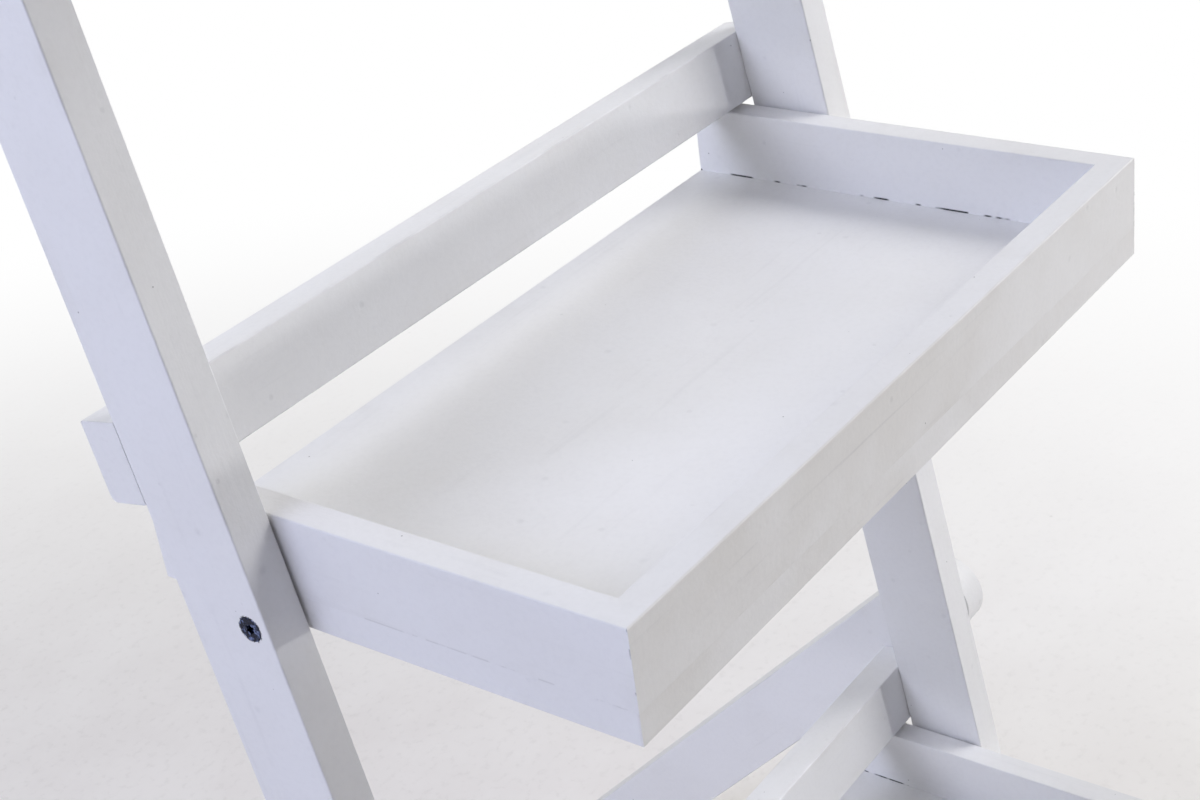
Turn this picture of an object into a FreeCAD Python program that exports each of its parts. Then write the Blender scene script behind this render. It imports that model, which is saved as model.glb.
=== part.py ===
import FreeCAD, Part
import os
import Sketcher

# Folding step shelf of painted wood. Two leaning front legs carry three trays, one above the other.
# Each tray turns on a pair of screws through the legs and rests with its rear end under a rail that is
# glued across the legs' rear edges. Two struts, hinged on the outside of the legs and tied together by
# a low rail between them, hold the shelf up from behind. Only the joints that turn have screws.
#
# Frame: X to the right, Y to the rear, Z up. The origin is on the floor, in the middle of the footprint.

LEVELS = ("bottom", "middle", "top")
SIDES = {"left": -1, "right": 1}
STAR_POINTS = 6
ALONG_X = FreeCAD.Vector(1, 0, 0)
ALONG_Y = FreeCAD.Vector(0, 1, 0)
ALONG_Z = FreeCAD.Vector(0, 0, 1)
SAME = 1e-6  # two places closer than this are one

# Driving dimensions, in millimetres and degrees.
SIZES = (
    ("frame_width", 406.0, "width over the outer faces of the front legs"),
    ("leg_top_margin", 24.0, "front leg above the top rail, along the leg"),
    ("leg_width", 40.0, "front leg from front edge to rear edge"),
    ("leg_thickness", 17.0, "front leg from side to side"),
    ("lean_angle", 10.5, "lean of the front legs from upright"),
    ("first_tray_height", 175.0, "floor to the underside of the bottom tray"),
    ("tray_pitch", 345.0, "upright distance from tray to tray"),
    ("tray_depth", 213.5, "tray from front to rear"),
    ("tray_height", 45.0, "tray from underside to rim"),
    ("tray_overhang", 140.0, "tray in front of the leg, at the tray's underside"),
    ("tray_gap", 1.2, "side gap between tray and leg"),
    ("panel_thickness", 13.0, "floor board of a tray"),
    ("rim_thickness", 12.4, "side and front strips of a tray"),
    ("pivot_setback", 9.0, "tray screw behind the leg's front edge"),
    ("pivot_rise", 8.5, "tray screw above the tray's underside"),
    ("rail_height", 32.0, "rail along the leg or strut"),
    ("rail_thickness", 18.0, "rail square to the leg or strut"),
    ("rail_round", 3.0, "rounding of a rail's lower rear edge"),
    ("stop_gap", 0.3, "between a tray's rim and the rail that stops it"),
    ("strut_width", 40.0, "rear strut from edge to edge"),
    ("strut_thickness", 17.0, "rear strut from side to side"),
    ("strut_angle", 43.7, "rear strut from upright"),
    ("strut_gap", 0.5, "between a strut and the leg beside it"),
    ("strut_pivot_height", 289.5, "floor to the screw of a strut"),
    ("cross_rail_drop", 332.0, "strut screw down to the struts' rail, along the strut"),
    ("edge_radius", 0.7, "easing of the boards' long edges"),
    ("screw_diameter", 5.0, "shank of every screw"),
    ("head_diameter", 10.0, "countersunk head"),
    ("tip_length", 5.0, "pointed end of a screw"),
    ("tray_screw_length", 42.0, "screw through a leg into a tray"),
    ("strut_screw_length", 31.0, "screw through a strut into a leg"),
    ("turning_clearance", 0.1, "round a screw in the board that turns on it"),
    ("seat_clearance", 0.05, "round a screw in a board that it holds still"),
    ("star_radius", 2.25, "points of the star recess in a screw head"),
    ("star_waist", 1.55, "inner corners of the star recess"),
    ("star_depth", 1.8, "star recess below the top of a screw head"),
)

doc = FreeCAD.newDocument("step_shelf")
sheet = doc.addObject("Spreadsheet::Sheet", "dims")
for row, (alias, size, note) in enumerate(SIZES, start=1):
    sheet.set(f"A{row}", note)
    sheet.set(f"B{row}", str(size))
    sheet.setAlias(f"B{row}", alias)
doc.recompute()

# Places that several pieces share, worked out from the driving dimensions.
DERIVED = (
    # reach of the strut's foot behind the front leg's foot, along the floor
    ("rear_reach", "dims.strut_pivot_height * (tan(dims.lean_angle) + tan(dims.strut_angle))"
                   " + dims.leg_width / (2 * cos(dims.lean_angle))"
                   " + dims.strut_width / (2 * cos(dims.strut_angle))"),
    # reach of the bottom tray in front of the front leg's foot
    ("front_reach", "dims.tray_overhang - dims.first_tray_height * tan(dims.lean_angle)"),
    # front edge of a front leg on the floor
    ("foot_y", "(place.front_reach - place.rear_reach) / 2"),
    # strut screws, on the middle line of the legs
    ("strut_pivot_y", "place.foot_y + dims.strut_pivot_height * tan(dims.lean_angle)"
                      " + dims.leg_width / (2 * cos(dims.lean_angle))"),
    # distance up the leg from its front corner on the floor to the strut screw
    ("strut_pivot_up", "(dims.strut_pivot_height + dims.leg_width / 2 * sin(dims.lean_angle))"
                       " / cos(dims.lean_angle)"),
    # tray screws, behind the leg's front edge as it passes the tray's underside
    ("pivot_y", "dims.pivot_rise * tan(dims.lean_angle) + dims.pivot_setback / cos(dims.lean_angle)"),
    ("tray_width", "dims.frame_width - 2 * (dims.leg_thickness + dims.tray_gap)"),
    ("head_height", "(dims.head_diameter - dims.screw_diameter) / 2"),
)
place = doc.addObject("App::VarSet", "place")
for name, formula in DERIVED:
    place.addProperty("App::PropertyFloat", name)
    place.setExpression(name, formula)
    doc.recompute()


def tray_z(level):
    """Height of a tray's underside."""
    return f"(dims.first_tray_height + {LEVELS.index(level)} * dims.tray_pitch)"


def pivot_up(level):
    """Distance up the leg from its front corner on the floor to a tray's screw."""
    return (f"(({tray_z(level)} + dims.pivot_rise + dims.pivot_setback * sin(dims.lean_angle))"
            " / cos(dims.lean_angle))")


def rail_up(level):
    """Distance up the leg to the underside of a rail, whose rounded edge stops the tray below it."""
    low = f"{tray_z(level)} + dims.tray_height + dims.stop_gap + dims.rail_round"
    back = "(dims.leg_width + dims.rail_thickness - dims.rail_round) * sin(dims.lean_angle)"
    return f"(({low} + {back}) / cos(dims.lean_angle) - dims.rail_round)"


def size_of(formula):
    """Present value of a formula."""
    return float(sheet.evalExpression(formula))


def new_body(label):
    body = doc.addObject("PartDesign::Body", label)
    body.Label = label
    return body


def sketch_on(body, role, name, offset=None):
    """Sketch on one of the body's own planes, moved along the plane's normal by a formula."""
    sketch = body.newObject("Sketcher::SketchObject", f"{body.Name}_{name}")
    plane = next(feature for feature in body.Origin.OriginFeatures if feature.Role == role)
    sketch.AttachmentSupport = [(plane, "")]
    sketch.MapMode = "FlatFace"
    if offset:
        sketch.setExpression("AttachmentOffset.Base.z", offset)
    return sketch


def fix_point(sketch, geometry, end, point):
    """Holds one end of a line, or a circle's centre, at a pair of formulas."""
    for kind, formula in zip(("DistanceX", "DistanceY"), point):
        constraint = Sketcher.Constraint(kind, geometry, end, size_of(formula))
        index = sketch.addConstraint(constraint)
        sketch.setExpression(f"Constraints[{index}]", formula)


def add_outline(sketch, corners):
    """Closed outline with straight sides, one pair of formulas for each corner."""
    spots = [FreeCAD.Vector(size_of(across), size_of(up), 0) for across, up in corners]
    first = sketch.GeometryCount
    for number, start in enumerate(spots):
        end = spots[(number + 1) % len(spots)]
        sketch.addGeometry(Part.LineSegment(start, end), False)
    for number, corner in enumerate(corners):
        line = first + number
        following = first + (number + 1) % len(corners)
        sketch.addConstraint(Sketcher.Constraint("Coincident", line, 2, following, 1))
        fix_point(sketch, line, 1, corner)


def add_circle(sketch, centre, radius):
    middle = FreeCAD.Vector(size_of(centre[0]), size_of(centre[1]), 0)
    circle = Part.Circle(middle, FreeCAD.Vector(0, 0, 1), size_of(radius))
    number = sketch.addGeometry(circle, False)
    fix_point(sketch, number, 3, centre)
    index = sketch.addConstraint(Sketcher.Constraint("Radius", number, size_of(radius)))
    sketch.setExpression(f"Constraints[{index}]", radius)


def add_pad(body, sketch, length, backwards=False):
    pad = body.newObject("PartDesign::Pad", f"{sketch.Name}_pad")
    pad.Profile = sketch
    pad.Reversed = backwards
    pad.setExpression("Length", length)
    doc.recompute()
    return pad


def add_pocket(body, sketch, depth=None, backwards=False):
    """Cut of the sketch into the body, to a depth or right through."""
    before = body.Shape.Volume
    pocket = body.newObject("PartDesign::Pocket", f"{sketch.Name}_cut")
    pocket.Profile = sketch
    pocket.Reversed = backwards
    if depth:
        pocket.setExpression("Length", depth)
    else:
        pocket.Type = "ThroughAll"
    doc.recompute()
    if not body.Shape.Volume < before:
        raise RuntimeError(f"{pocket.Name} cuts nothing")
    return pocket


def edge_names(shape, wanted):
    return [f"Edge{number}" for number, edge in enumerate(shape.Edges, start=1) if wanted(edge)]


def runs_along(edge, axis):
    """True for a straight edge along an axis of the body."""
    return isinstance(edge.Curve, Part.Line) and abs(abs(edge.Curve.Direction.dot(axis)) - 1) < SAME


def all_at(edge, axis, level):
    """True for an edge whose ends lie in one plane square to an axis of the body."""
    return all(abs(vertex.Point.dot(axis) - level) < SAME for vertex in edge.Vertexes)


def round_edges(body, name, wanted, radius="dims.edge_radius"):
    """Rounds the edges of the body's last feature that the test picks."""
    base = body.Tip
    fillet = body.newObject("PartDesign::Fillet", f"{body.Name}_{name}")
    fillet.Base = (base, edge_names(base.Shape, wanted))
    fillet.setExpression("Radius", radius)
    doc.recompute()


def chamfer_edges(body, name, wanted, width):
    """Chamfers the edges of the body's last feature that the test picks. A hole's mouth becomes a cone."""
    base = body.Tip
    chamfer = body.newObject("PartDesign::Chamfer", f"{body.Name}_{name}")
    chamfer.Base = (base, edge_names(base.Shape, wanted))
    chamfer.setExpression("Size", width)
    doc.recompute()


def mouth_at(axis, formula):
    """Test for a hole's round edge that lies in the plane at a formula along an axis of the body."""
    level = size_of(formula)

    def wanted(edge):
        return isinstance(edge.Curve, Part.Circle) and edge.isClosed() and all_at(edge, axis, level)

    return wanted


def set_place(piece, x, y, z, turn):
    """Places a piece by formulas: a turn about X, then a move."""
    piece.Placement = FreeCAD.Placement(FreeCAD.Vector(), FreeCAD.Rotation(ALONG_X, size_of(turn)))
    piece.setExpression("Placement.Rotation.Angle", turn)
    for axis, formula in zip("xyz", (x, y, z)):
        piece.setExpression(f"Placement.Base.{axis}", formula)


def place_on_leg(piece, x, behind, up):
    """Places a piece by its distances behind and up the leg's front edge, leaning as the leg does."""
    set_place(piece, x,
              f"place.foot_y + ({behind}) * cos(dims.lean_angle) + {up} * sin(dims.lean_angle)",
              f"{up} * cos(dims.lean_angle) - ({behind}) * sin(dims.lean_angle)",
              "-dims.lean_angle")


def place_on_strut(piece, behind, down):
    """Places a piece by its distances behind a strut's middle line and down from its screw."""
    set_place(piece, "0",
              f"place.strut_pivot_y + ({behind}) * cos(dims.strut_angle) + ({down}) * sin(dims.strut_angle)",
              f"dims.strut_pivot_height + ({behind}) * sin(dims.strut_angle) - ({down}) * cos(dims.strut_angle)",
              "dims.strut_angle")


# Radii of the screw holes, as formulas.
TURNING_HOLE = "(dims.screw_diameter / 2 + dims.turning_clearance)"
SEAT_HOLE = "(dims.screw_diameter / 2 + dims.seat_clearance)"


def make_screw(label, length):
    """Countersunk screw along -Z, with the top of its head at the origin and a star recess in it."""
    screw = new_body(label)
    profile = sketch_on(screw, "XZ_Plane", "profile")
    shank = "dims.screw_diameter / 2"
    add_outline(profile, (
        ("0", "0"),
        ("dims.head_diameter / 2", "0"),
        (shank, "-place.head_height"),
        (shank, f"dims.tip_length - {length}"),
        ("0", f"-{length}"),
    ))
    turned = screw.newObject("PartDesign::Revolution", f"{label}_turned")
    turned.Profile = profile
    turned.ReferenceAxis = (profile, ["V_Axis"])
    turned.Angle = 360
    doc.recompute()
    star = sketch_on(screw, "XY_Plane", "star")
    corners = []
    for number in range(2 * STAR_POINTS):
        radius = ("dims.star_radius", "dims.star_waist")[number % 2]
        turn = 180 / STAR_POINTS * number
        corners.append((f"{radius} * cos({turn})", f"{radius} * sin({turn})"))
    add_outline(star, corners)
    add_pocket(screw, star, "dims.star_depth")
    return screw


def make_leg(side):
    """Leaning front leg. Inside the body, Y runs back from its front edge and Z up along it."""
    sign = SIDES[side]
    on_left = sign < 0
    leg = new_body(f"{side}_leg")
    outer = f"{sign} * dims.leg_thickness"
    length = f"{rail_up(LEVELS[-1])} + dims.rail_height + dims.leg_top_margin"
    outline = sketch_on(leg, "YZ_Plane", "outline")
    add_outline(outline, (
        ("0", "0"),
        ("dims.leg_width", "dims.leg_width * tan(dims.lean_angle)"),
        ("dims.leg_width", length),
        ("0", length),
    ))
    add_pad(leg, outline, "dims.leg_thickness", on_left)
    round_edges(leg, "eased", lambda edge: runs_along(edge, ALONG_Z))
    tray_holes = sketch_on(leg, "YZ_Plane", "tray_holes", outer)
    for level in LEVELS:
        add_circle(tray_holes, ("dims.pivot_setback", pivot_up(level)), TURNING_HOLE)
    add_pocket(leg, tray_holes, None, on_left)
    chamfer_edges(leg, "countersinks", mouth_at(ALONG_X, outer), "place.head_height")
    strut_hole = sketch_on(leg, "YZ_Plane", "strut_hole", outer)
    add_circle(strut_hole, ("dims.leg_width / 2", "place.strut_pivot_up"), SEAT_HOLE)
    depth = "dims.strut_screw_length - dims.strut_thickness - dims.strut_gap + dims.seat_clearance"
    add_pocket(leg, strut_hole, depth, on_left)
    place_on_leg(leg, f"{sign} * (dims.frame_width / 2 - dims.leg_thickness)", "0", "0")
    return leg


def make_rail(label, length):
    """Board across two uprights. Inside the body, Y runs back from its front face and Z up from its lower one."""
    rail = new_body(label)
    outline = sketch_on(rail, "YZ_Plane", "outline")
    add_outline(outline, (
        ("0", "0"),
        ("dims.rail_thickness", "0"),
        ("dims.rail_thickness", "dims.rail_height"),
        ("0", "dims.rail_height"),
    ))
    pad = add_pad(rail, outline, length)
    pad.SideType = "Symmetric"
    doc.recompute()
    rear = size_of("dims.rail_thickness")

    def lower_rear(edge):
        return runs_along(edge, ALONG_X) and all_at(edge, ALONG_Y, rear) and all_at(edge, ALONG_Z, 0)

    round_edges(rail, "eased", lambda edge: runs_along(edge, ALONG_X) and not lower_rear(edge))
    round_edges(rail, "rounded", lower_rear, "dims.rail_round")
    return rail


def make_tray(level):
    """Tray of a floor board with three strips on it. Its own Y starts at the leg's front edge."""
    half = "place.tray_width / 2"
    front = "-dims.tray_overhang"
    rear = "(dims.tray_depth - dims.tray_overhang)"
    inner_half = f"({half} - dims.rim_thickness)"
    inner_front = f"({front} + dims.rim_thickness)"
    rim_height = "dims.tray_height - dims.panel_thickness"
    top = size_of("dims.tray_height")

    panel = new_body(f"{level}_base_panel")
    outline = sketch_on(panel, "XY_Plane", "outline")
    add_outline(outline, ((f"-{half}", front), (half, front), (half, rear), (f"-{half}", rear)))
    add_pad(panel, outline, "dims.panel_thickness")

    round_edges(panel, "eased", lambda edge: all_at(edge, ALONG_Z, 0))
    screw_hole = sketch_on(panel, "YZ_Plane", "screw_hole", half)
    add_circle(screw_hole, ("place.pivot_y", "dims.pivot_rise"), SEAT_HOLE)
    depth = "dims.tray_screw_length - dims.leg_thickness - dims.tray_gap + dims.seat_clearance"
    right_hole = add_pocket(panel, screw_hole, depth)
    both_holes = panel.newObject("PartDesign::Mirrored", f"{panel.Name}_both_holes")
    both_holes.Originals = [right_hole]
    both_holes.MirrorPlane = (outline, ["V_Axis"])
    panel.Tip = both_holes
    doc.recompute()

    def make_rim(name, corners):
        rim = new_body(f"{level}_{name}_rim")
        plan = sketch_on(rim, "XY_Plane", "plan", "dims.panel_thickness")
        add_outline(plan, corners)
        add_pad(rim, plan, rim_height)

        def at_top(edge):
            off_mitre = runs_along(edge, ALONG_X) or runs_along(edge, ALONG_Y)
            return off_mitre and all_at(edge, ALONG_Z, top)

        round_edges(rim, "eased", at_top)
        return rim

    pieces = [panel]
    for side, sign in SIDES.items():
        corners = (
            (f"{sign} * {half}", front),
            (f"{sign} * {half}", rear),
            (f"{sign} * {inner_half}", rear),
            (f"{sign} * {inner_half}", inner_front),
        )
        pieces.append(make_rim(side, corners))
    pieces.append(make_rim("front", (
        (f"-{half}", front),
        (half, front),
        (inner_half, inner_front),
        (f"-{inner_half}", inner_front),
    )))
    for piece in pieces:
        set_place(piece, "0", f"place.foot_y + {tray_z(level)} * tan(dims.lean_angle)", tray_z(level), "0")
    return pieces


def make_strut(side):
    """Rear strut. Inside the body, its screw is on the X axis and Z runs down to the foot."""
    sign = SIDES[side]
    on_left = sign < 0
    strut = new_body(f"{side}_strut")
    outer = f"{sign} * dims.strut_thickness"
    half = "dims.strut_width / 2"
    foot = "dims.strut_pivot_height / cos(dims.strut_angle)"
    slant = f"{half} * tan(dims.strut_angle)"
    outline = sketch_on(strut, "YZ_Plane", "outline")
    corners = (
        (f"-{half}", "0"),
        (f"-{half}", f"{foot} + {slant}"),
        (half, f"{foot} - {slant}"),
        (half, "0"),
    )
    add_outline(outline, corners)
    add_pad(strut, outline, "dims.strut_thickness", on_left)
    round_end = sketch_on(strut, "YZ_Plane", "round_end")
    add_circle(round_end, ("0", "0"), half)
    add_pad(strut, round_end, "dims.strut_thickness", on_left)
    outer_x = size_of(outer)

    def on_outline(edge):
        on_a_face = all_at(edge, ALONG_X, 0) or all_at(edge, ALONG_X, outer_x)
        return on_a_face and (runs_along(edge, ALONG_Z) or isinstance(edge.Curve, Part.Circle))

    chamfer_edges(strut, "eased", on_outline, "dims.edge_radius")
    screw_hole = sketch_on(strut, "YZ_Plane", "screw_hole", outer)
    add_circle(screw_hole, ("0", "0"), TURNING_HOLE)
    add_pocket(strut, screw_hole, None, on_left)
    chamfer_edges(strut, "countersink", mouth_at(ALONG_X, outer), "place.head_height")
    set_place(strut, f"{sign} * (dims.frame_width / 2 + dims.strut_gap)", "place.strut_pivot_y",
              "dims.strut_pivot_height", "180 + dims.strut_angle")
    return strut


def copy_of(screw, label):
    link = doc.addObject("App::Link", label)
    link.LinkedObject = screw
    return link


def group(label, copies):
    """One node of several loose copies of a screw."""
    node = doc.addObject("Part::Compound", label)
    node.Label = label
    node.Links = copies
    return node


def side_screw(screw, label, sign, x, y, z):
    """Copy of a screw that points inwards from its side of the shelf."""
    link = copy_of(screw, label)
    link.Placement = FreeCAD.Placement(FreeCAD.Vector(), FreeCAD.Rotation(ALONG_Y, sign * 90))
    for axis, formula in zip("xyz", (f"{sign} * ({x})", y, z)):
        link.setExpression(f"Placement.Base.{axis}", formula)
    return link


nodes = []
tray_screw = make_screw("tray_screw", "dims.tray_screw_length")
strut_screw = make_screw("strut_screw", "dims.strut_screw_length")

# Front frame: legs, the rails behind them and the screws that the struts turn on.
for side in SIDES:
    nodes.append(make_leg(side))
for level in LEVELS:
    rail = make_rail(f"{level}_rail", "dims.frame_width")
    place_on_leg(rail, "0", "dims.leg_width", rail_up(level))
    nodes.append(rail)
nodes.append(group("strut_screws", [
    side_screw(strut_screw, f"{side}_strut_screw", sign,
               "dims.frame_width / 2 + dims.strut_gap + dims.strut_thickness",
               "place.strut_pivot_y", "dims.strut_pivot_height")
    for side, sign in SIDES.items()
]))

# Trays and the screws that they turn on.
for level in LEVELS:
    nodes.extend(make_tray(level))
    nodes.append(group(f"{level}_tray_screws", [
        side_screw(tray_screw, f"{level}_{side}_tray_screw", sign, "dims.frame_width / 2",
                   f"place.foot_y + {tray_z(level)} * tan(dims.lean_angle) + place.pivot_y",
                   f"{tray_z(level)} + dims.pivot_rise")
        for side, sign in SIDES.items()
    ]))

# Rear frame: struts and the rail between their inner faces.
for side in SIDES:
    nodes.append(make_strut(side))
cross_rail = make_rail("cross_rail", "dims.frame_width + 2 * dims.strut_gap")
place_on_strut(cross_rail, "-dims.rail_thickness / 2", "dims.cross_rail_drop + dims.rail_height")
nodes.append(cross_rail)

doc.recompute()
for item in doc.Objects:
    if "Invalid" in item.State or "Error" in item.State:
        raise RuntimeError(f"{item.Name} failed: {item.State}")
for node in nodes:
    if node.Shape.isNull() or not node.Shape.isValid():
        raise RuntimeError(f"{node.Label} has no valid shape")

os.makedirs("parts", exist_ok=True)
for node in nodes:
    node.Shape.exportStep(f"parts/{node.Label}.step")
print(f"{len(nodes)} nodes, {sum(len(node.Shape.Solids) for node in nodes)} solids")
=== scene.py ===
"""Looks of the step shelf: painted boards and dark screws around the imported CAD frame."""

import math

import bpy
import numpy as np
from mathutils import Matrix, Vector


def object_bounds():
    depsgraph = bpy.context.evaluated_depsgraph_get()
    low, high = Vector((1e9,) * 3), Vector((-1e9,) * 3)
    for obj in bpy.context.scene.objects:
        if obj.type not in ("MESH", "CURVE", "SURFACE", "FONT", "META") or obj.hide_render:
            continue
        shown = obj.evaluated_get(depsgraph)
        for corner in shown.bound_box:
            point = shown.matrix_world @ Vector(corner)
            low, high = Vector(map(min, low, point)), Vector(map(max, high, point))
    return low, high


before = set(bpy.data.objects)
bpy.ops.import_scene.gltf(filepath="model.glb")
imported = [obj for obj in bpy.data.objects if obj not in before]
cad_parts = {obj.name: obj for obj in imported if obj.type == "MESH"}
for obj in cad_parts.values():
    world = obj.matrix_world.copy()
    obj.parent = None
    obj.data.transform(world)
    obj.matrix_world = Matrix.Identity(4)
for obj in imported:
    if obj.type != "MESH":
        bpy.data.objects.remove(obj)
cad_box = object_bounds()

ACROSS = Vector((1, 0, 0))
BACK = Vector((0, 1, 0))
LEVELS = ("bottom", "middle", "top")
FLOOR_SIDES = 96

WHITE = (1, 1, 1, 1)
PAINT = (0.855, 0.855, 0.87, 1)
THIN_PAINT_AND_SHADE = (0.71, 0.69, 0.665, 1)
DARK_TONE = (0.30, 0.30, 0.33, 1)
GAP = (0.012, 0.012, 0.016, 1)
SCREW_OXIDE = (0.006, 0.009, 0.026, 1)
SCREW_WORN_AND_GLINT = (0.20, 0.26, 0.50, 1)
FLOOR_PALE = (0.93, 0.90, 0.88, 1)
FLOOR_DULL = (0.885, 0.85, 0.83, 1)
FLOOR_DIRT = (0.40, 0.37, 0.35, 1)

# How fine each pattern is, in repeats per metre. Streaks and fibres are long along the grain.
STREAKS, FIBRES = (9.0, 260.0, 260.0), (30.0, 1100.0, 1100.0)
CLOUDS, PATCHES, PEEL = 17.0, 34.0, 430.0
DENTS, SPECKS = 110.0, 160.0
SEAM_DASHES, SEAM_RAGS, CHIP_RAGS = 34.0, 170.0, 700.0
SCREW_SPOTS, SCREW_GRAIN = 560.0, 2600.0
FLOOR_CLOUDS, FLOOR_GRIT, FLOOR_SPECKS = 7.0, 150.0, 24.0

# Seeds, which shift the patterns so that no two boards look alike.
SEED_SHIFT = (3.7, 5.3, 7.1)
FRAME_SEED_STEP = 0.31
TRAY_SEED, TRAY_SEED_STEP, PIECE_SEED_STEP = 4.0, 0.7, 0.2

# Strengths, from 0 to 1: marks on all boards, thin paint on a tray's front that also paints shade on that
# face, darker lines along edges, seams under rims with painted shade in their gaps.
CLOUDED, MOTTLED, RUBBED, DENTED, SPECKED = 0.12, 0.03, 0.12, 0.10, 0.55
FRONT_WEAR_AND_SHADE = 0.38
BOARD_EDGE, TRAY_EDGE = 0.16, 0.02
SIDE_SEAM, FRONT_SEAM = 1.0, 0.25

# Finish: roughness is the least value and what a pattern adds to it.
PAINT_ROUGHNESS, PAINT_SHINE = (0.36, 0.16), 0.45
SCREW_ROUGHNESS, SCREW_METAL = (0.14, 0.30), 0.85

# Lengths in metres. A pair says where a mark starts to fade and where it ends.
OUTER_SKIN = (0.0004, 0.0012)
MID_BOARD = (-0.001, 0.001)
EDGE_RUB = (0.0, 0.010)
EDGE_LINE = (0.0002, 0.0011)
INNER_GAP_SHADE = (0.0004, 0.0011)
OUTER_SEAM = (0.0002, 0.0009)
MITRE_LINE = (0.0002, 0.0008)
CHIP_REACH = 0.0008
PAINT_RELIEF, SCREW_RELIEF = 0.0001, 0.00004
FLOOR_RADIUS, FLOOR_DROP = 9.0, 0.0002
SHADOW_CENTRE, SHADOW_FADE = (-0.3, 0.2, 0), (0.4, 1.6)

# Azimuth from the front to the right and elevation in degrees, distance and size in metres, watts, colour.
LAMPS = {
    "low_key": (29, -4.5, 2.05, 0.09, 5.3, (1.0, 1.0, 1.0)),
    "front_left": (-45, 48, 2.6, 1.6, 2.0, (1.0, 1.0, 1.0)),
    "right_low": (62, 12, 2.6, 1.2, 5.0, (0.9, 0.95, 1.0)),
    "right_soft": (45, 33, 2.6, 1.2, 23.0, (1.0, 0.99, 1.0)),
    "right_high": (65, 45, 2.6, 1.4, 20.0, (1.0, 1.0, 1.0)),
    "left_soft": (-104, 30, 2.6, 1.4, 34.5, (0.72, 0.76, 1.0)),
    "back_left": (-138, 42, 2.6, 2.2, 16.5, (0.95, 0.99, 1.0)),
    "back_right": (150, 42, 2.6, 2.2, 6.5, (1.0, 0.92, 0.7)),
}
ROOM_LIGHT = 0.02

# The photograph's viewpoint: lens and sensor in millimetres, place in metres, directions of the picture.
LENS, SENSOR = 61.57, 36.0
CAMERA_PLACE = (-0.567157, -0.500908, 0.919884)
PICTURE_RIGHT = (0.58228, -0.803465, -0.124075)
PICTURE_UP = (0.458544, 0.198547, 0.866208)
TOWARDS_VIEWER = (-0.671333, -0.56127, 0.484034)


class Nodes:
    """Short calls that add nodes to one tree."""

    def __init__(self, tree):
        self.tree = tree

    def feed(self, socket, value):
        if isinstance(value, bpy.types.NodeSocket):
            self.tree.links.new(value, socket)
        else:
            socket.default_value = value

    def add(self, kind, inputs=None, **settings):
        node = self.tree.nodes.new(kind)
        for name, value in settings.items():
            setattr(node, name, value)
        for key, value in (inputs or {}).items():
            self.feed(node.inputs[key], value)
        return node

    def math(self, operation, *values):
        return self.add("ShaderNodeMath", dict(enumerate(values)), operation=operation).outputs[0]

    def vector(self, operation, *values):
        node = self.add("ShaderNodeVectorMath", dict(enumerate(values)), operation=operation)
        return node.outputs["Value" if operation in ("DOT_PRODUCT", "DISTANCE") else "Vector"]

    def split(self, vector):
        return self.add("ShaderNodeSeparateXYZ", {0: vector}).outputs

    def ramp(self, value, low, high, start=0.0, end=1.0):
        node = self.add("ShaderNodeMapRange", {0: value, 1: low, 2: high, 3: start, 4: end},
                        interpolation_type="SMOOTHSTEP")
        return node.outputs[0]

    def noise(self, vector, scale, detail=2.0, roughness=0.5):
        node = self.add("ShaderNodeTexNoise",
                        {"Vector": vector, "Scale": scale, "Detail": detail, "Roughness": roughness})
        return node.outputs[0]

    def cells(self, vector, scale):
        """Distance from the nearest of many scattered points, and two random values of that point."""
        node = self.add("ShaderNodeTexVoronoi", {"Vector": vector, "Scale": scale})
        picked = self.add("ShaderNodeSeparateColor", {0: node.outputs["Color"]})
        return node.outputs["Distance"], picked.outputs[0], picked.outputs[1]

    def mix(self, factor, first, second):
        return self.add("ShaderNodeMix", {0: factor, 6: first, 7: second}, data_type="RGBA").outputs[2]

    def roughness(self, pattern, least, added):
        return self.math("MULTIPLY_ADD", pattern, added, least)

    def bump(self, height, distance):
        inputs = {"Strength": 1.0, "Distance": distance, "Height": height}
        return self.add("ShaderNodeBump", inputs).outputs[0]

    def seen_directly(self):
        path = self.add("ShaderNodeLightPath").outputs
        seen = self.math("MAXIMUM", path["Is Camera Ray"], path["Is Glossy Ray"])
        return self.math("MAXIMUM", seen, path["Is Transmission Ray"])


def new_material(name):
    material = bpy.data.materials.new(name)
    material.use_nodes = True
    material.node_tree.nodes.clear()
    n = Nodes(material.node_tree)
    return material, n, n.add("ShaderNodeTexCoord").outputs["Object"]


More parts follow.
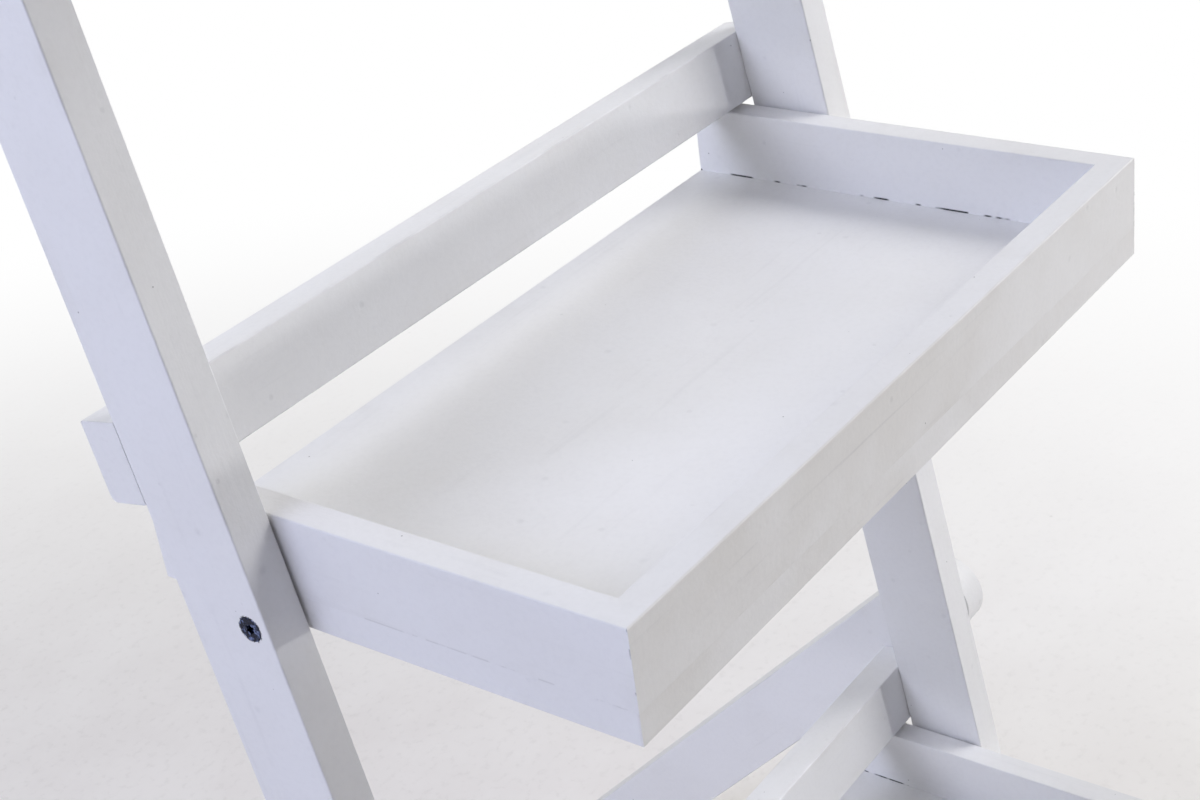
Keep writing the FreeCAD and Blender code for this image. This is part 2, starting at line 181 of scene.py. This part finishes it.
def paint_group():
    """Brushed white paint on one board, in its own directions: x along the grain, y inward, z up."""
    tree = bpy.data.node_groups.new("painted_board", "ShaderNodeTree")
    for name, kind in (("Local", "Vector"), ("Half", "Vector"), ("Seed", "Float"), ("Seam", "Float"),
                       ("Mitre", "Float"), ("ThinAndShade", "Float"), ("Edge", "Float")):
        tree.interface.new_socket(name, in_out="INPUT", socket_type="NodeSocket" + kind)
    for name, kind in (("Colour", "Color"), ("Roughness", "Float"), ("Normal", "Vector")):
        tree.interface.new_socket(name, in_out="OUTPUT", socket_type="NodeSocket" + kind)
    n = Nodes(tree)
    given = tree.nodes.new("NodeGroupInput").outputs
    local, half = given["Local"], given["Half"]

    shift = n.vector("SCALE", SEED_SHIFT)
    n.feed(shift.node.inputs["Scale"], given["Seed"])
    place = n.vector("ADD", local, shift)
    at, half_at = n.split(local), n.split(half)

    # An edge is where the second smallest of the three depths below the surface is near zero.
    depth = n.split(n.vector("SUBTRACT", half, n.vector("ABSOLUTE", local)))
    near, far = n.math("MINIMUM", depth[0], depth[1]), n.math("MAXIMUM", depth[0], depth[1])
    edge_depth = n.math("MAXIMUM", near, n.math("MINIMUM", far, depth[2]))

    streaks = n.noise(n.vector("MULTIPLY", place, STREAKS), 1.0, 3.0, 0.55)
    fibres = n.noise(n.vector("MULTIPLY", place, FIBRES), 1.0, 2.0, 0.5)
    clouds = n.noise(place, CLOUDS, 3.0, 0.55)
    patches = n.noise(place, PATCHES, 4.0, 0.6)
    peel = n.noise(place, PEEL, 3.0, 0.6)

    # Thin, yellowed paint, most of it on the outer face of a tray's front, where its darker colour is also
    # painted shade on that face, and grain that shows through.
    outer_face = n.ramp(n.math("ADD", half_at[1], at[1]), *OUTER_SKIN, 1.0, 0.0)
    thin_and_shade = n.math("MULTIPLY", outer_face, given["ThinAndShade"])
    yellowed_and_shade = n.math("ADD", n.ramp(clouds, 0.40, 0.70, 0.0, CLOUDED),
                      n.math("MULTIPLY", thin_and_shade, n.ramp(clouds, 0.2, 0.7, 0.5, 1.5)))
    colour = n.mix(yellowed_and_shade, PAINT, THIN_PAINT_AND_SHADE)
    colour = n.mix(n.ramp(peel, 0.42, 0.72, 0.0, MOTTLED), colour, DARK_TONE)
    grain = n.math("MULTIPLY", n.ramp(streaks, 0.56, 0.74), n.ramp(clouds, 0.46, 0.60))
    colour = n.mix(n.math("MULTIPLY", grain, n.math("MULTIPLY_ADD", thin_and_shade, 0.3, 0.05)), colour, DARK_TONE)

    # Rubbed edges, and a darker line along each edge.
    rubbed = n.math("MULTIPLY", n.ramp(edge_depth, *EDGE_RUB, 1.0, 0.0), n.ramp(patches, 0.50, 0.68))
    colour = n.mix(n.math("MULTIPLY", rubbed, RUBBED), colour, THIN_PAINT_AND_SHADE)
    line = n.math("MULTIPLY", n.ramp(edge_depth, *EDGE_LINE, 1.0, 0.0), n.ramp(patches, 0.42, 0.60))
    colour = n.mix(n.math("MULTIPLY", line, given["Edge"]), colour, DARK_TONE)

    # Dents, and dark specks that are more common on rubbed paint.
    distance, pick, size = n.cells(place, DENTS)
    reach = n.math("MULTIPLY_ADD", size, 0.12, 0.06)
    dent = n.math("MULTIPLY", n.ramp(n.math("DIVIDE", distance, reach), 0.35, 1.5, 1.0, 0.0),
                  n.ramp(pick, 0.80, 0.84))
    colour = n.mix(n.math("MULTIPLY", dent, DENTED), colour, DARK_TONE)
    distance, pick, _ = n.cells(place, SPECKS)
    rarity = n.math("MULTIPLY_ADD", rubbed, -0.22, 0.93)
    speck = n.math("MULTIPLY", n.ramp(distance, 0.03, 0.07, 1.0, 0.0), n.math("GREATER_THAN", pick, rarity))
    colour = n.mix(n.math("MULTIPLY", speck, SPECKED), colour, GAP)

    # Under a rim: dark dashes inside the tray, which are painted shade in the gap under the rim, a faint
    # ragged seam outside, and the mitred corner.
    above_foot = n.math("ADD", at[2], half_at[2])
    inside = n.ramp(at[1], *MID_BOARD)
    outside = n.math("SUBTRACT", 1.0, inside)
    along_only = n.vector("MULTIPLY", place, (1.0, 0.0, 0.0))
    dashes = n.ramp(n.noise(along_only, SEAM_DASHES, 3.0, 0.7), 0.50, 0.56)
    gap_shade = n.math("MULTIPLY", n.ramp(above_foot, *INNER_GAP_SHADE, 1.0, 0.0), dashes)
    gap_shade = n.math("MULTIPLY", gap_shade, inside)
    ragged = n.ramp(n.noise(place, SEAM_RAGS, 3.0, 0.6), 0.50, 0.62)
    outer_seam = n.math("MULTIPLY", n.ramp(above_foot, *OUTER_SEAM, 0.15, 0.0), ragged)
    seam = n.math("MULTIPLY", n.math("MULTIPLY_ADD", outer_seam, outside, gap_shade), given["Seam"])
    end_depth = n.math("SUBTRACT", half_at[0], n.math("MULTIPLY", at[0], given["Mitre"]))
    corner = n.math("MULTIPLY", n.ramp(end_depth, *MITRE_LINE, 0.40, 0.0),
                    n.math("MULTIPLY", outside, ragged))
    corner = n.math("MULTIPLY", corner, n.math("ABSOLUTE", given["Mitre"]))
    colour = n.mix(n.math("MAXIMUM", seam, corner), colour, GAP)

    height = n.math("MULTIPLY_ADD", streaks, 0.6, n.math("MULTIPLY", fibres, 0.2))
    for pattern, rise in ((peel, 0.8), (dent, -0.9), (rubbed, -0.2), (seam, -2.0)):
        height = n.math("MULTIPLY_ADD", pattern, rise, height)

    result = tree.nodes.new("NodeGroupOutput").inputs
    n.feed(result["Colour"], colour)
    n.feed(result["Roughness"], n.roughness(patches, *PAINT_ROUGHNESS))
    n.feed(result["Normal"], n.bump(height, PAINT_RELIEF))
    return tree


def extent(name, axes):
    """Least and greatest distance of a CAD node along each of three directions."""
    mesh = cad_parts[name].data
    points = np.array([v.co for v in mesh.vertices], float) @ np.array(axes).T
    return points.min(0), points.max(0)


def length_of(name):
    """Upward direction of a leg or strut, along the largest of its sides that don't face along X."""
    sides = [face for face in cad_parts[name].data.polygons if abs(face.normal.x) < 0.5]
    along = ACROSS.cross(max(sides, key=lambda face: face.area).normal).normalized()
    return along if along.z >= 0 else -along


def board_material(name, grain, inward, seed, seam=0.0, mitre=0.0, thin_and_shade=0.0, edge=TRAY_EDGE, screws=()):
    """Paint fitted to one CAD board, whose box is measured along the grain and both ways across it."""
    upward = grain.cross(inward).normalized()
    axes = (grain.normalized(), inward.normalized(), upward if upward.z >= 0 else -upward)
    low, high = extent(name, axes)

    material, n, place = new_material("paint_" + name)
    along = [n.vector("DOT_PRODUCT", place, axis) for axis in axes]
    turned = n.add("ShaderNodeCombineXYZ", dict(enumerate(along))).outputs[0]
    local = n.vector("SUBTRACT", turned, (low + high) / 2)
    paint = n.add("ShaderNodeGroup", node_tree=painted_board)
    for key, value in (("Local", local), ("Half", (high - low) / 2), ("Seed", seed), ("Seam", seam),
                       ("Mitre", mitre), ("ThinAndShade", thin_and_shade), ("Edge", edge)):
        n.feed(paint.inputs[key], value)

    # Chipped paint around the screw heads, which all face along X.
    colour = paint.outputs["Colour"]
    for screw in screws:
        start, end = extent(screw, np.eye(3))
        centre, radius = (start + end) / 2, (end[1] - start[1]) / 2
        away = n.vector("DISTANCE", n.vector("MULTIPLY", place, (0, 1, 1)), (0, centre[1], centre[2]))
        ragged = n.ramp(n.noise(place, CHIP_RAGS, 3.0, 0.6), 0.44, 0.54)
        chips = n.math("MULTIPLY", n.ramp(away, radius, radius + CHIP_REACH, 1.0, 0.0), ragged)
        colour = n.mix(chips, colour, GAP)

    shader = n.add("ShaderNodeBsdfPrincipled", {"Base Color": colour,
                                                "Roughness": paint.outputs["Roughness"],
                                                "Normal": paint.outputs["Normal"],
                                                "Specular IOR Level": PAINT_SHINE})
    n.add("ShaderNodeOutputMaterial", {"Surface": shader.outputs[0]})
    return material


def screw_material():
    """Dark oxide finish with paler worn spots, whose bright blue also serves as painted glints."""
    material, n, place = new_material("dark_screw")
    worn_and_glint = n.noise(place, SCREW_SPOTS, 4.0, 0.65)
    fine = n.noise(place, SCREW_GRAIN, 2.0, 0.5)
    colour = n.mix(n.ramp(worn_and_glint, 0.47, 0.66), SCREW_OXIDE, SCREW_WORN_AND_GLINT)
    shader = n.add("ShaderNodeBsdfPrincipled", {"Base Color": colour,
                                                "Metallic": SCREW_METAL,
                                                "Roughness": n.roughness(worn_and_glint, *SCREW_ROUGHNESS),
                                                "Normal": n.bump(fine, SCREW_RELIEF)})
    n.add("ShaderNodeOutputMaterial", {"Surface": shader.outputs[0]})
    return material


def dress(name, material):
    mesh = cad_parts[name].data
    mesh.materials.clear()
    mesh.materials.append(material)


def dress_frames():
    leg_up, strut_up = length_of("left_leg"), length_of("left_strut")
    tray_screws = [level + "_tray_screws" for level in LEVELS]
    boards = [("left_leg", leg_up, ACROSS, tray_screws),
              ("right_leg", leg_up, -ACROSS, tray_screws),
              ("left_strut", strut_up, ACROSS, ["strut_screws"]),
              ("right_strut", strut_up, -ACROSS, ["strut_screws"]),
              ("cross_rail", ACROSS, strut_up, [])]
    boards += [(level + "_rail", ACROSS, leg_up, []) for level in LEVELS]
    for number, (name, grain, inward, screws) in enumerate(boards):
        seed = FRAME_SEED_STEP * number
        dress(name, board_material(name, grain, inward, seed, edge=BOARD_EDGE, screws=screws))


def dress_trays():
    for number, level in enumerate(LEVELS):
        seed = TRAY_SEED + TRAY_SEED_STEP * number
        # The base panel and front rim get thin paint whose darker colour on their front faces is also
        # painted shade.
        pieces = (("_base_panel", ACROSS, BACK, seed - PIECE_SEED_STEP, 0.0, 0.0, FRONT_WEAR_AND_SHADE),
                  ("_left_rim", BACK, ACROSS, seed, SIDE_SEAM, -1.0, 0.0),
                  ("_right_rim", BACK, -ACROSS, seed + PIECE_SEED_STEP, SIDE_SEAM, -1.0, 0.0),
                  ("_front_rim", ACROSS, BACK, seed + 2 * PIECE_SEED_STEP, FRONT_SEAM, 1.0, FRONT_WEAR_AND_SHADE))
        for piece, *looks in pieces:
            dress(level + piece, board_material(level + piece, *looks))


def dress_screws():
    dark_screw = screw_material()
    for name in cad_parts:
        if name.endswith("_screws"):
            dress(name, dark_screw)


def floor_material():
    """Pale floor that keeps the shadow near the object and turns white further off."""
    material, n, place = new_material("pale_floor")
    away = n.vector("DISTANCE", place, SHADOW_CENTRE)
    colour = n.mix(n.ramp(n.noise(place, FLOOR_CLOUDS, 5.0, 0.6), 0.34, 0.68), FLOOR_PALE, FLOOR_DULL)
    colour = n.mix(n.ramp(n.noise(place, FLOOR_GRIT, 3.0, 0.6), 0.52, 0.72, 0.0, 0.10), colour, FLOOR_DIRT)
    distance, pick, _ = n.cells(place, FLOOR_SPECKS)
    speck = n.math("MULTIPLY", n.ramp(distance, 0.02, 0.05, 0.5, 0.0), n.ramp(pick, 0.6, 0.7))
    diffuse = n.add("ShaderNodeBsdfDiffuse", {"Color": n.mix(speck, colour, FLOOR_DIRT)})
    white = n.add("ShaderNodeEmission", {"Color": WHITE, "Strength": 1.0})
    share = n.math("MULTIPLY", n.ramp(away, *SHADOW_FADE), n.seen_directly())
    shader = n.add("ShaderNodeMixShader", {0: share, 1: diffuse.outputs[0], 2: white.outputs[0]})
    n.add("ShaderNodeOutputMaterial", {"Surface": shader.outputs[0]})
    return material


def make_floor():
    mesh = bpy.data.meshes.new("floor")
    turns = [math.tau * k / FLOOR_SIDES for k in range(FLOOR_SIDES)]
    rim = [(FLOOR_RADIUS * math.cos(turn), FLOOR_RADIUS * math.sin(turn), -FLOOR_DROP) for turn in turns]
    mesh.from_pydata(rim, [], [tuple(range(FLOOR_SIDES))])
    mesh.materials.append(floor_material())
    floor = bpy.data.objects.new("floor", mesh)
    bpy.context.scene.collection.objects.link(floor)


def make_world():
    world = bpy.data.worlds.new("studio")
    bpy.context.scene.world = world
    world.use_nodes = True
    world.node_tree.nodes.clear()
    n = Nodes(world.node_tree)
    room = n.add("ShaderNodeBackground", {"Color": WHITE, "Strength": ROOM_LIGHT})
    white = n.add("ShaderNodeBackground", {"Color": WHITE, "Strength": 1.0})
    shader = n.add("ShaderNodeMixShader", {0: n.seen_directly(), 1: room.outputs[0], 2: white.outputs[0]})
    n.add("ShaderNodeOutputWorld", {"Surface": shader.outputs[0]})


def make_lamp(name, azimuth, elevation, distance, size, watts, colour):
    """Round soft lamp that faces the middle of the shelf's height."""
    aim = Vector((0, 0, (cad_box[0][2] + cad_box[1][2]) / 2))
    around, above = math.radians(azimuth), math.radians(elevation)
    outward = Vector((math.sin(around) * math.cos(above),
                      -math.cos(around) * math.cos(above),
                      math.sin(above)))
    lamp = bpy.data.lights.new(name, "AREA")
    lamp.shape = "DISK"
    lamp.size = size
    lamp.energy = watts
    lamp.color = colour
    holder = bpy.data.objects.new(name, lamp)
    holder.location = aim + distance * outward
    holder.rotation_euler = outward.to_track_quat("Z", "Y").to_euler()
    holder.visible_camera = False
    bpy.context.scene.collection.objects.link(holder)


def make_camera():
    camera = bpy.data.cameras.new("camera")
    camera.lens = LENS
    camera.sensor_width = SENSOR
    camera.clip_start, camera.clip_end = 0.01, 50.0
    holder = bpy.data.objects.new("camera", camera)
    turn = Matrix((PICTURE_RIGHT, PICTURE_UP, TOWARDS_VIEWER)).transposed()
    holder.matrix_world = Matrix.Translation(CAMERA_PLACE) @ turn.to_4x4()
    bpy.context.scene.collection.objects.link(holder)
    bpy.context.scene.camera = holder


painted_board = paint_group()
dress_frames()
dress_trays()
dress_screws()
make_floor()
make_world()
for lamp_name, settings in LAMPS.items():
    make_lamp(lamp_name, *settings)
make_camera()
bpy.context.scene.view_settings.view_transform = "Standard"
